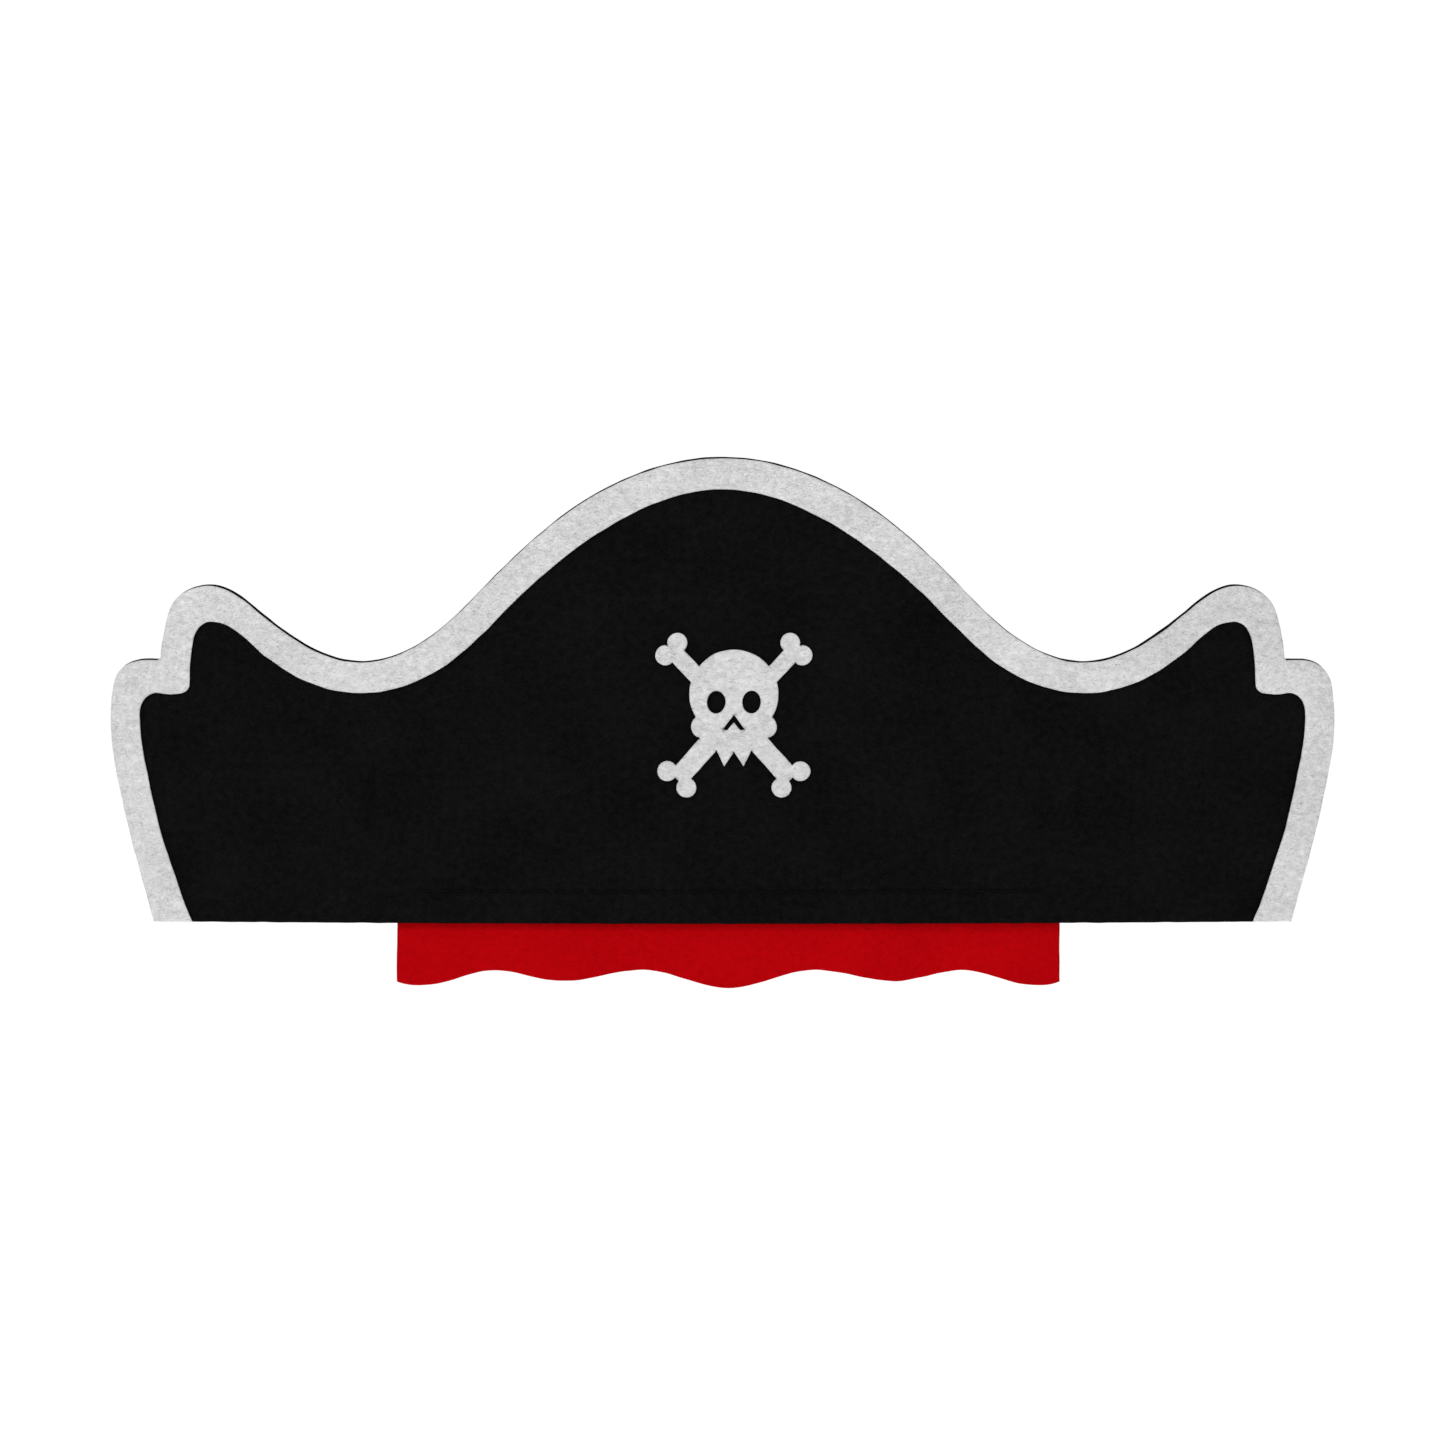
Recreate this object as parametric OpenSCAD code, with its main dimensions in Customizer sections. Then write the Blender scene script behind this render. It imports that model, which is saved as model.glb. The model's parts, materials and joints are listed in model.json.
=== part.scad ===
// Child's felt pirate hat: a bowed front panel with a felt edge trim and a skull badge,
// a red bandana strip along the lower edge, and an elastic strap round the back of the head.
//
// The front faces -Y and +Z is up. The origin is the middle of the head opening, level with
// the panel's lower edge. Every felt layer is a slice of a cylinder about one upright axis
// behind the hat, cut to an outline that is drawn as it looks from the front.

/* [Front panel] */
// Width over the widest part of the brim, seen from the front
hat_w = 295; // [285:1:305]
// Height of the crown above the lower edge
crown_h = 111; // [107:1:115]
// Radius to which the panel is bowed, at its back face
bow_r = 320; // [290:5:400]
// Thickness of the black felt
panel_t = 2; // [1.5:0.1:2.5]

/* [Trim and badge] */
// Thickness of the light felt border
trim_t = 1; // [0.8:0.1:1.4]
// How far the border is set down from the panel's upper edges
trim_drop = 0.4; // [0.2:0.1:1]
// How far the border is set out from the middle, per millimetre of half width
trim_spread = 0.003; // [0:0.001:0.005]
// Thickness of the skull badge
badge_t = 1; // [0.6:0.1:1.2]
// Distance of the badge's middle from the hat's middle
badge_x = 2.7; // [-3:0.1:3]
// Height of the badge's middle above the lower edge
badge_z = 49.5; // [46:0.5:53]

/* [Bandana strip] */
// Width of the red strip
bandana_w = 158.2; // [150:0.2:160]
// Distance of the strip's middle from the hat's middle
bandana_x = 1.4; // [-2:0.1:2]
// Height of the margin that is sewn behind the panel
margin_h = 14; // [10:1:16]
// Thickness of the red felt
bandana_t = 1.2; // [1:0.1:1.5]

/* [Head and strap] */
// Length of the head from brow to back
head_l = 184; // [178:1:190]
// Width of the head
head_w = 149; // [144:1:154]
// Width of the elastic
strap_w = 15; // [12:1:16]
// Thickness of the elastic
strap_t = 1.4; // [1:0.1:1.8]
// Height of the elastic's middle above the lower edge
strap_z = 28.5; // [26:0.5:32]
// Distance of each row of anchor stitches from the hat's middle
anchor_x = 85; // [84:0.5:88]

/* [Stitching] */
// Length of one straight stitch
stitch_l = 2.8; // [2:0.1:3.2]
// Distance from one stitch to the next
stitch_pitch = 4; // [3.6:0.2:5]
// Width of the sewing thread
thread_w = 0.7; // [0.4:0.1:0.8]
// How far the thread stands off the felt
thread_h = 0.35; // [0.2:0.05:0.5]

/* [Hidden] */
$fn = 96;

felt_fn = 720;          // facets of the large cylinders
curve_steps = 6;        // points along each stretch of an outline
drawn_w = 295;          // the width and height at which the outlines are drawn
drawn_h = 111.1;
below = 25;             // how far the cutting solids reach below and above the hat
fold_h = 5.5;           // height of the red felt that bends
body_gap = 0.3;         // gap between pieces that move apart

axis_y = bow_r - head_l / 2 - bandana_t;   // the felt layers' upright axis
panel_front = bow_r + panel_t;
bandana_back = bow_r - bandana_t;
strap_face = bow_r - strap_t;              // the sewn end's back face

// Half outlines, from the middle of the crown outwards. Each point is
// [across, up, heading in degrees], and 0 degrees heads outwards.
crown_edge = [
  [0, 111.1, 0], [28.8, 103.2, -28.5], [54, 83.1, -45], [72, 67, -31], [86, 62.6, 0],
  [109, 73.2, 38], [123.2, 81.1, 0], [133.2, 74.2, -73], [135.1, 63.3, -87]
];
brim_edge = [
  [135.1, 63.3, 2], [140.4, 63.2, -8], [146.9, 56.5, -82], [147.5, 48.5, -90],
  [145.1, 31.3, -101.7], [136.8, 0, -105.4]
];
crown_inside = [
  [0, 103.3, 0], [28.8, 93.4, -32], [52, 74.2, -45.5], [66, 61.5, -34], [86.3, 54.9, 0],
  [110, 64.2, 39], [122.7, 72.1, 0], [127.1, 67.6, -79], [128, 57, -89]
];
brim_inside = [
  [128, 57, -89], [130, 54.9, -8], [133.4, 54.7, 5], [137.2, 54.9, -18], [140.2, 50.5, -88],
  [138.3, 35.3, -102.6], [133, 15.3, -110.9], [127.3, 0, -115]
];
// Lower edge of the bandana strip: deep lobes and shallow arches.
scallops = [
  [0, -15.3, 0], [20.5, -11, 0], [39.6, -13.7, 0], [55.6, -11.2, 0], [73, -14.8, 0],
  [bandana_w / 2, -14, 20]
];

function at(k) = [k[0], k[1]];
function along(h) = [cos(h), sin(h)];
// Length of the Bezier handles that makes an equal bend at both ends a circular arc
function handle(a, b) = norm(at(b) - at(a)) / (3 * pow(cos((b[2] - a[2]) / 4), 2));
function bezier(p, t) = pow(1 - t, 3) * p[0] + 3 * pow(1 - t, 2) * t * p[1]
  + 3 * (1 - t) * t * t * p[2] + pow(t, 3) * p[3];
function stretch(a, b) = let (
  h = handle(a, b),
  p = [at(a), at(a) + h * along(a[2]), at(b) - h * along(b[2]), at(b)]
) [for (k = [0 : curve_steps - 1]) bezier(p, k / curve_steps)];
// The curve through a list of knots, without its last point
function curve(knots) = [for (i = [0 : len(knots) - 2]) each stretch(knots[i], knots[i + 1])];
function last(v) = v[len(v) - 1];
function flip(v) = [for (i = [len(v) - 1 : -1 : 1]) [-v[i].x, v[i].y]];
// A whole outline from its right half, which starts on the middle line
function whole(half) = concat(half, flip(half));

panel_half = concat(curve(crown_edge), curve(brim_edge), [at(last(brim_edge))]);
inside_half = concat(
  curve(crown_inside), curve(brim_inside),
  [at(last(brim_inside)), at(last(brim_inside)) + below * along(last(brim_inside)[2])]
);

function sized(v) = [for (p = v) [p.x * hat_w / drawn_w, p.y * crown_h / drawn_h]];

module panel_outline() polygon(sized(whole(panel_half)));
module inside_outline() polygon(sized(whole(inside_half)));

// A layer of felt between two radii, cut to the outline in its children
module felt(r_in, r_out) {
  intersection() {
    translate([0, axis_y, -below])
      difference() {
        cylinder(r = r_out, h = crown_h + 2 * below, $fn = felt_fn);
        translate([0, 0, -1]) cylinder(r = r_in, h = crown_h + 2 * below + 2, $fn = felt_fn);
      }
    rotate([90, 0, 0]) linear_extrude(height = head_l) children();
  }
}

// ---- front panel and its trim -------------------------------------------------------

module front_panel() {
  color("#161616") felt(bow_r, panel_front) panel_outline();
}

module edge_trim() {
  color("#d7d7d6")
    felt(panel_front, panel_front + trim_t)
      difference() {
        intersection() {
          panel_outline();
          polygon([for (p = sized(whole(panel_half))) [p.x * (1 + trim_spread), p.y - trim_drop]]);
        }
        inside_outline();
      }
}

// ---- skull badge --------------------------------------------------------------------

upper_bone_w = 4;       // width of a bone's shaft above the skull
lower_bone_w = 4.9;     // and below it
knob_r = 2.4;           // radius of a bone's rounded ends
eye = [4.2, 3.2];       // middle of an eye socket
eye_r = [2.2, 2.7];     // its half width and half height

module disc(p, r) translate(p) circle(r);

// Half a bone: a shaft from the badge's middle to an end with two knobs
module half_bone(knob_a, knob_b, shaft_w) {
  end = (knob_a + knob_b) / 2;
  rotate(atan2(end.y, end.x)) translate([0, -shaft_w / 2]) square([norm(end), shaft_w]);
  disc(knob_a, knob_r);
  disc(knob_b, knob_r);
}

module both_sides() {
  children();
  mirror([1, 0]) children();
}

module skull_outline() {
  disc([0, 5.1], 10.6);
  both_sides() {
    disc([7.4, -2.6], 2.8);
    half_bone([13.4, 17.3], [16.3, 14.3], upper_bone_w);
    half_bone([15.8, -13.2], [11.3, -17.1], lower_bone_w);
    polygon([[0, -8.6], [2.3, -12.1], [4.2, -8.2], [8.6, -4.6], [8.6, 0], [0, 0]]);
  }
}

module skull_holes() {
  both_sides() {
    polygon([for (a = [0 : 15 : 345]) [eye.x + eye_r.x * cos(a), eye.y + eye_r.y * sin(a)]]);
    polygon([[0, 0.2], [2.6, -3.3], [1.6, -3.5], [0, -1.6]]);
  }
}

module skull_and_crossbones() {
  color("#d9d9d8")
    felt(panel_front, panel_front + badge_t)
      translate([badge_x, badge_z])
        difference() {
          skull_outline();
          skull_holes();
        }
}

// ---- bandana strip ------------------------------------------------------------------

bandana_half = concat(curve(scallops), [at(last(scallops)), [bandana_w / 2, margin_h]]);

module bandana_outline() translate([bandana_x, 0]) polygon(whole(bandana_half));

// The part of the strip between two heights
module bandana_between(low, high) {
  color("#b00308")
    felt(bandana_back, bow_r)
      intersection() {
        bandana_outline();
        translate([-hat_w / 2, low]) square([hat_w, high - low]);
      }
}

module bandana_margin() bandana_between(0, margin_h);
module bandana_fold() bandana_between(-fold_h, 0);
module bandana_flap() bandana_between(-below, -fold_h - body_gap);

module stitch(p, angle, length) {
  translate(p) rotate(angle) {
    square([length - thread_w, thread_w], center = true);
    for (side = [-1, 1]) translate([side * (length - thread_w) / 2, 0]) circle(thread_w / 2, $fn = 24);
  }
}

module bandana_stitches() {
  seam_z = 0.55 * margin_h;
  count = floor((bandana_w / 2 - stitch_pitch) / stitch_pitch);
  color("#101010")
    for (layer = [panel_front, bandana_back - thread_h])
      felt(layer, layer + thread_h)
        for (i = [-count : count]) stitch([bandana_x + i * stitch_pitch, seam_z], 0, stitch_l);
}

// ---- elastic strap ------------------------------------------------------------------

end_l = 14;             // length of each sewn end
end_out = 3;            // how far it runs past the anchor stitches
bend_r = 4;             // radius of the turn where the strap leaves the panel
swing_clear = 8.2;      // from the panel's back to the line the strap swings about

back_r = head_w / 2 + strap_t / 2;
back_y = head_l / 2 + strap_t / 2 - back_r;

// The sewn end's two limits, as angles about the felt's axis, and the middle of its turn
end_x = anchor_x + end_out;
end_turn = asin(end_x / bow_r);
tail_turn = asin((end_x - end_l) / bow_r);
strap_mid = bow_r - strap_t / 2;
leave = [strap_mid * sin(end_turn), axis_y - strap_mid * cos(end_turn)];
bend_c = leave + bend_r * [-sin(end_turn), cos(end_turn)];

// The side runs are straight and touch both the turn and the arc at the back.
to_back = [0, back_y] - bend_c;
lean = atan2(to_back.y, to_back.x) - acos(-(back_r - bend_r) / norm(to_back));
side_start = bend_c + bend_r * [cos(lean), sin(lean)];
side_end = [back_r * cos(lean), back_y + back_r * sin(lean)];
side_l = norm(side_end - side_start);
swing_y = axis_y - bow_r * cos(asin((end_x + bend_r) / bow_r)) + swing_clear;
root_l = (swing_y - side_start.y) / cos(lean);

module elastic() color("#1c1c1c") children();
module strap_band() translate([0, 0, strap_z - strap_w / 2]) linear_extrude(height = strap_w) children();

module strap_end_right() {
  elastic()
    translate([0, axis_y, strap_z - strap_w / 2]) rotate(tail_turn - 90)
      rotate_extrude(angle = end_turn - tail_turn, $fn = felt_fn)
        translate([strap_face, 0]) square([strap_t, strap_w]);
}

// A straight stretch of the right-hand side run, in plan
module side_run(from, to) {
  translate(side_start) rotate(90 + lean) translate([from, -strap_t / 2]) square([to - from, strap_t]);
}

// The turn at the panel and the first stretch of the side run, which twist as the strap swings
module strap_root_right() {
  turn = [for (a = [end_turn : (90 + lean - end_turn) / 8 : 90 + lean + 0.01]) a - 90];
  elastic() strap_band() {
    polygon([
      for (a = turn) bend_c + (bend_r + strap_t / 2) * along(a),
      for (i = [len(turn) - 1 : -1 : 0]) bend_c + (bend_r - strap_t / 2) * along(turn[i])
    ]);
    side_run(-0.01, root_l);
  }
}

module strap_side_right() {
  elastic() strap_band() side_run(root_l + body_gap, side_l);
}

module strap_back() {
  gap = atan(body_gap / back_r);
  elastic()
    translate([0, back_y, strap_z - strap_w / 2]) rotate(lean + gap)
      rotate_extrude(angle = 180 - 2 * (lean + gap))
        translate([back_r - strap_t / 2, 0]) square([strap_t, strap_w]);
}

module strap_end_left() mirror([1, 0, 0]) strap_end_right();
module strap_root_left() mirror([1, 0, 0]) strap_root_right();
module strap_side_left() mirror([1, 0, 0]) strap_side_right();

// A row of zigzag stitches through the panel and the sewn end
zigzags = 9;
zigzag_w = 3;

module zigzag() {
  rise = (strap_w - 1) / zigzags;
  for (i = [0 : zigzags - 1])
    stitch([0, (i - (zigzags - 1) / 2) * rise], i % 2 == 0 ? 25 : -25, zigzag_w + thread_w);
}

module strap_stitches_right() {
  color("#101010")
    for (layer = [panel_front, strap_face - thread_h])
      felt(layer, layer + thread_h) translate([anchor_x, strap_z]) zigzag();
}

module strap_stitches_left() mirror([1, 0, 0]) strap_stitches_right();

front_panel();
edge_trim();
skull_and_crossbones();
bandana_margin();
bandana_fold();
bandana_flap();
bandana_stitches();
strap_end_left();
strap_end_right();
strap_root_left();
strap_root_right();
strap_side_left();
strap_side_right();
strap_back();
strap_stitches_left();
strap_stitches_right();
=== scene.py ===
"""The looks of a child's felt pirate hat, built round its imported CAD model.

Metres, +Z up, the front faces -Y. Every felt layer lies on a cylinder about one upright axis
behind the hat, so a point of felt is given as (x across the hat, z up, r from that axis).
"""
import json
import math

import bmesh
import bpy
import numpy as np
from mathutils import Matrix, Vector, kdtree, noise
from mathutils.geometry import delaunay_2d_cdt


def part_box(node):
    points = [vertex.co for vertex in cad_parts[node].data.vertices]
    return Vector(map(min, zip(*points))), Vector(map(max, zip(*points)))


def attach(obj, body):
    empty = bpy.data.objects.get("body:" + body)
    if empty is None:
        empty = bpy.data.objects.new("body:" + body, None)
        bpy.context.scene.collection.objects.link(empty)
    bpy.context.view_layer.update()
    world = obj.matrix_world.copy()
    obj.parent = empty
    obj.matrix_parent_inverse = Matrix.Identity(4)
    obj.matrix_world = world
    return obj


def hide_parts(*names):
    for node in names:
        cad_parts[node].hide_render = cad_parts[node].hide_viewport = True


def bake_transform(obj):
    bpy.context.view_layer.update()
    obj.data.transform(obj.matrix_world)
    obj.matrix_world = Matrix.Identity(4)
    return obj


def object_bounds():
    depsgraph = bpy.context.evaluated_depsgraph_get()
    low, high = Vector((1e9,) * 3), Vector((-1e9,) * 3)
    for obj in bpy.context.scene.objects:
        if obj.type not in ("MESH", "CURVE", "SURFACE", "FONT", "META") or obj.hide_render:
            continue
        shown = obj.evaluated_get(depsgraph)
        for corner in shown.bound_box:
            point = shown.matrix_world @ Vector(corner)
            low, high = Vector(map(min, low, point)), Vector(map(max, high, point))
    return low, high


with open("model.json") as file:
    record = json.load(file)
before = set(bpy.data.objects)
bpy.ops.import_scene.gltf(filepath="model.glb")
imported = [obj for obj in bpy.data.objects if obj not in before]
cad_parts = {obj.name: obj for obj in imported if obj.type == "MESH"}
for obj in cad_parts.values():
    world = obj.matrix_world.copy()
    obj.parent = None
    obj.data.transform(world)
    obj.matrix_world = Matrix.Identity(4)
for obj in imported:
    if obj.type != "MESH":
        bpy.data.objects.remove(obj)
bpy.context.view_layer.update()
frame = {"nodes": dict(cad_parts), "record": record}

MM = 0.001
MERGE = 0.004 * MM               # vertices closer than this are one

# Bodies that the pieces ride on
HAT = "hat"

# Felt
CORNER = math.radians(28)        # an outline turns more sharply than this only at a corner
OUTLINE_STEP = 0.8 * MM          # spacing of points along a cut edge
SPLINE_STEPS = 8                 # steps of the curve between two points of a packed outline
SINK = 0.12 * MM                 # how far a glued layer is pressed into the felt under it
CUT_WOBBLE = 0.12 * MM           # unevenness of a cut edge
CUT_WOBBLE_SIZE = 4 * MM
EDGE_POWER = 2.6                 # 2 is a round cut edge, and more is squarer
RING_DEPTHS = (0.06, 0.22, 0.5, 0.85)  # rows of mesh points inside a cut edge, in edge widths
RING_CLEAR = 0.93                # share of its depth that a ring's point keeps from every cut edge
GRID_CLEAR = 0.35                # gap between the last ring and the inner grid, in grid steps
BOW_WAVES = ((0.45 * MM, 70 * MM, 3.1), (0.1 * MM, 16 * MM, 7.7))  # height, size and seed
FUZZ_WAVES = ((1.0, 2.4 * MM, 0), (0.7, 6 * MM, 5))  # share, size and seed
BACK_SEED = 31                   # sets the back face's fuzz apart from the front's
PATCH_STEP = 0.6 * MM            # grid step of the felt round a seam
SEAM_PATCH = (4 * MM, 2.4 * MM)  # margins of the fine grid round the seam, across and up
ZIGZAG_PATCH = 2 * MM
FLAP_WAVE, FLAP_WAVE_LENGTH, FLAP_WAVE_START = 0.9 * MM, 37.5 * MM, 1 * MM
FLAP_RIPPLE, FLAP_RIPPLE_SIZE, FLAP_RIPPLE_SEED = 0.7 * MM, 26 * MM, 4.4
FLAP_POWER = 1.4                 # how fast the flap's waves grow towards its lower edge

# Elastic
BEND_R = 4 * MM                  # radius of the turn where the strap leaves the panel
BEND_STEP = 0.5 * MM
CLOTH_WIDTH_MM = 15              # width of the elastic on its flat cloth
LOOPS_PER_MM = 1.05              # knitted loops along a rib
RIBS = 9
RIB_HEIGHT = 0.16 * MM
RIB_POWER = 0.7                  # 1 is a rib with a sine's outline, and less is fuller
ROUND_OFF = 0.03                 # share of the width that is rounded at each selvedge
RIB_POINTS = 8                   # mesh points across one rib
STRAP_STEP = 1.6 * MM
SEWN_END = 14 * MM               # length of each end that lies on the panel
NECKING = 0.035                  # share of its width that the stretched elastic loses
NECKING_REACH = 20 * MM          # length over which it narrows
STRAP_WOBBLE, STRAP_WOBBLE_SIZE = 0.12 * MM, 14 * MM

# Thread
ZIGZAGS = 9
PLY_R = 0.2 * MM                 # radius of one of the two plies
PLY_OFFSET = 0.16 * MM           # from the thread's middle to the middle of a ply
PLY_TWIST = 1.7 * MM             # length of one full turn
PLY_SIDES = 8
THREAD_R = PLY_R + PLY_OFFSET
STITCH_SHARE = 0.36              # half a seam stitch, as a share of the spacing of the stitches
STITCH_POINTS = 13
ARCH_HEIGHT = 0.75               # how far a stitch stands off the felt, in thread radii
ARCH_POWER = 0.6                 # 1 is a sine's arch, and less is squarer
HOLE_DEPTH = 0.5 * MM            # how far a stitch's ends go into the felt
PRESS_REACH = 3 * MM             # the felt is pulled in this far round a stitch
SEAM_PRESS, SEAM_PRESS_WIDTH = 0.16 * MM, 0.8 * MM
HOLE_PRESS, HOLE_PRESS_WIDTH = 0.2 * MM, 0.75 * MM
DEEPEST_PRESS = 0.5 * MM


# ---- reading the frame --------------------------------------------------------------

def node_mesh(name):
    """A CAD node's mesh with its doubled vertices merged, as a bmesh in the row frame."""
    bm = bmesh.new()
    bm.from_mesh(frame["nodes"][name].data)
    bmesh.ops.remove_doubles(bm, verts=bm.verts, dist=MERGE)
    return bm


def corners(*names):
    """The vertices of some CAD nodes, in the row frame."""
    return np.vstack([[tuple(v.co) for v in frame["nodes"][name].data.vertices] for name in names])


def circle_of_bow():
    """(y of the felt's axis, radius of the front panel's front face), read from that face."""
    near_tip = 0.2 * MM
    co = corners("front_panel")
    y_mid = co[:, 1].min()
    widest = co[co[:, 0] > co[:, 0].max() - near_tip]
    x_side, y_side = widest[widest[:, 1].argmin(), :2]
    axis = (x_side ** 2 + y_side ** 2 - y_mid ** 2) / (2 * (y_side - y_mid))
    return axis, axis - y_mid


AXIS_Y, PANEL_FRONT_R = circle_of_bow()


def radii(*names):
    """(smallest, largest) distance of some nodes' vertices from the felt's axis."""
    co = corners(*names)
    r = np.hypot(co[:, 0], co[:, 1] - AXIS_Y)
    return r.min(), r.max()


def on_bow(x, z, r):
    """Points in the row frame from (x, z, r)."""
    return np.stack([x, AXIS_Y - np.sqrt(r * r - x * x), z], axis=-1)


def outer_loops(name):
    """The outlines of a node's front face, each an array of (x, z) in order."""
    bm = node_mesh(name)
    r_front = radii(name)[1]
    chord_error = 0.06 * MM

    def on_front(v):
        return abs(math.hypot(v.co.x, v.co.y - AXIS_Y) - r_front) < chord_error

    front = {f for f in bm.faces if all(on_front(v) for v in f.verts)}
    rim = [e for e in bm.edges if sum(f in front for f in e.link_faces) == 1]
    after = {}
    for e in rim:
        a, b = e.verts
        after.setdefault(a, []).append(b)
        after.setdefault(b, []).append(a)
    loops, left = [], set(after)
    while left:
        first = min(left, key=lambda v: (v.co.x, v.co.z))
        loop, here, before = [], first, None
        while here in left:
            left.discard(here)
            loop.append((here.co.x, here.co.z))
            ahead = [v for v in after[here] if v is not before and v in left]
            before, here = here, (ahead[0] if ahead else None)
        if len(loop) > 2:
            loops.append(np.array(loop))
    return loops


# ---- outlines -----------------------------------------------------------------------

def turns(loop):
    """The angle through which a closed outline turns at each of its points."""
    back = loop - np.roll(loop, 1, axis=0)
    ahead = np.roll(loop, -1, axis=0) - loop
    d = np.arctan2(ahead[:, 1], ahead[:, 0]) - np.arctan2(back[:, 1], back[:, 0])
    return np.abs((d + math.pi) % (2 * math.pi) - math.pi)


def plain_outline(loop, shortest=0.12 * MM, straightest=0.012 * MM):
    """A closed outline without its doubled points and those that lie on a straight stretch."""
    loop = loop[np.linalg.norm(loop - np.roll(loop, 1, axis=0), axis=1) > shortest]
    loop = np.roll(loop, -int(turns(loop).argmax()), axis=0)
    kept = [loop[0]]
    for point, after in zip(loop[1:], np.roll(loop, -1, axis=0)[1:]):
        chord = after - kept[-1]
        off = abs(chord[0] * (point - kept[-1])[1] - chord[1] * (point - kept[-1])[0])
        if off > straightest * np.linalg.norm(chord):
            kept.append(point)
    return np.array(kept)


def smooth_loop(loop, step):
    """A closed outline with evenly spaced points, a curve between its corners."""
    loop = plain_outline(loop)
    corner = np.flatnonzero(turns(loop) > CORNER)
    closed = len(corner) == 0
    if closed:
        corner = np.array([0])
    out = []
    for i, start in enumerate(corner):
        end = corner[(i + 1) % len(corner)]
        count = (end - start) % len(loop) or len(loop)
        chain = loop[[(start + k) % len(loop) for k in range(count + 1)]]
        before = loop[start - 1] if closed else 2 * chain[0] - chain[1]
        after = loop[(end + 1) % len(loop)] if closed else 2 * chain[-1] - chain[-2]
        p = np.vstack([before, chain, after])
        fine = []
        for k in range(1, len(p) - 2):
            t = np.linspace(0, 1, SPLINE_STEPS, endpoint=False)[:, None]
            a, b, c, d = p[k - 1], p[k], p[k + 1], p[k + 2]
            fine.append(0.5 * (2 * b + (c - a) * t + (2 * a - 5 * b + 4 * c - d) * t ** 2
                               + (3 * b - a - 3 * c + d) * t ** 3))
        fine = np.vstack(fine + [p[-2][None]])
        length = np.r_[0, np.cumsum(np.linalg.norm(np.diff(fine, axis=0), axis=1))]
        n = max(1, round(length[-1] / step))
        at = np.linspace(0, length[-1], n + 1)[:-1]
        out.append(np.stack([np.interp(at, length, fine[:, axis]) for axis in (0, 1)], axis=1))
    return np.vstack(out)


class Cut:
    """The cut edges of one sheet: each point's distance from them, and whether it is on the felt."""

    def __init__(self, loops):
        self.a = np.vstack(loops)
        self.b = np.vstack([np.roll(loop, -1, axis=0) for loop in loops])
        ends = np.cumsum([len(loop) for loop in loops])
        starts = np.r_[0, ends[:-1]]
        self.before = np.arange(len(self.a)) - 1
        self.before[starts] = ends - 1
        after = np.arange(len(self.a)) + 1
        after[ends - 1] = starts
        self.rim = list(zip(range(len(self.a)), after.tolist()))
        self.tree = kdtree.KDTree(len(self.a))
        for i, (x, z) in enumerate(self.a):
            self.tree.insert((x, z, 0), i)
        self.tree.balance()

    def from_segment(self, points, i):
        """Distance of each point from the cut's segment i, which may differ from point to point."""
        ab = self.b[i] - self.a[i]
        t = np.clip(((points - self.a[i]) * ab).sum(1) / (ab * ab).sum(1), 0, 1)
        return np.linalg.norm(points - self.a[i] - t[:, None] * ab, axis=1)

    def distance(self, points):
        near = np.array([self.tree.find((x, z, 0))[1] for x, z in points])
        return np.minimum(self.from_segment(points, near), self.from_segment(points, self.before[near]))

    def inside(self, points):
        """Whether each point is on the felt: a line to its right crosses the cut an odd number of times."""
        batch = 4000
        found = np.empty(len(points), bool)
        flat_edge = self.b[:, 1] == self.a[:, 1]
        slope = (self.b[:, 0] - self.a[:, 0]) / np.where(flat_edge, 1, self.b[:, 1] - self.a[:, 1])
        for i in range(0, len(points), batch):
            x, z = points[i:i + batch, 0, None], points[i:i + batch, 1, None]
            spans = (self.a[:, 1] > z) != (self.b[:, 1] > z)
            crossed = spans & (x < self.a[:, 0] + (z - self.a[:, 1]) * slope)
            found[i:i + batch] = crossed.sum(1) % 2 == 1
        return found


def hex_grid(low, high, step):
    """The points of an even triangular grid over a box."""
    across = np.arange(low[0], high[0] + step, step)
    rows = np.arange(low[1], high[1] + step, step * math.sqrt(3) / 2)
    return np.vstack([np.stack([across + (k % 2) * step / 2, np.full(len(across), z)], axis=1)
                      for k, z in enumerate(rows)])


def noise_at(x, z, size, seed=0.0):
    """Smooth noise from -1 to 1 with bumps of about the given size, in metres."""
    return np.array([noise.noise(Vector((a / size, b / size, seed))) for a, b in zip(x, z)])


# ---- felt ---------------------------------------------------------------------------

def bow_wave(x, z):
    """How far all the felt layers stand off their cylinder together, as felt isn't quite even."""
    return sum(height * noise_at(x, z, size, seed) for height, size, seed in BOW_WAVES)


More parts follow.
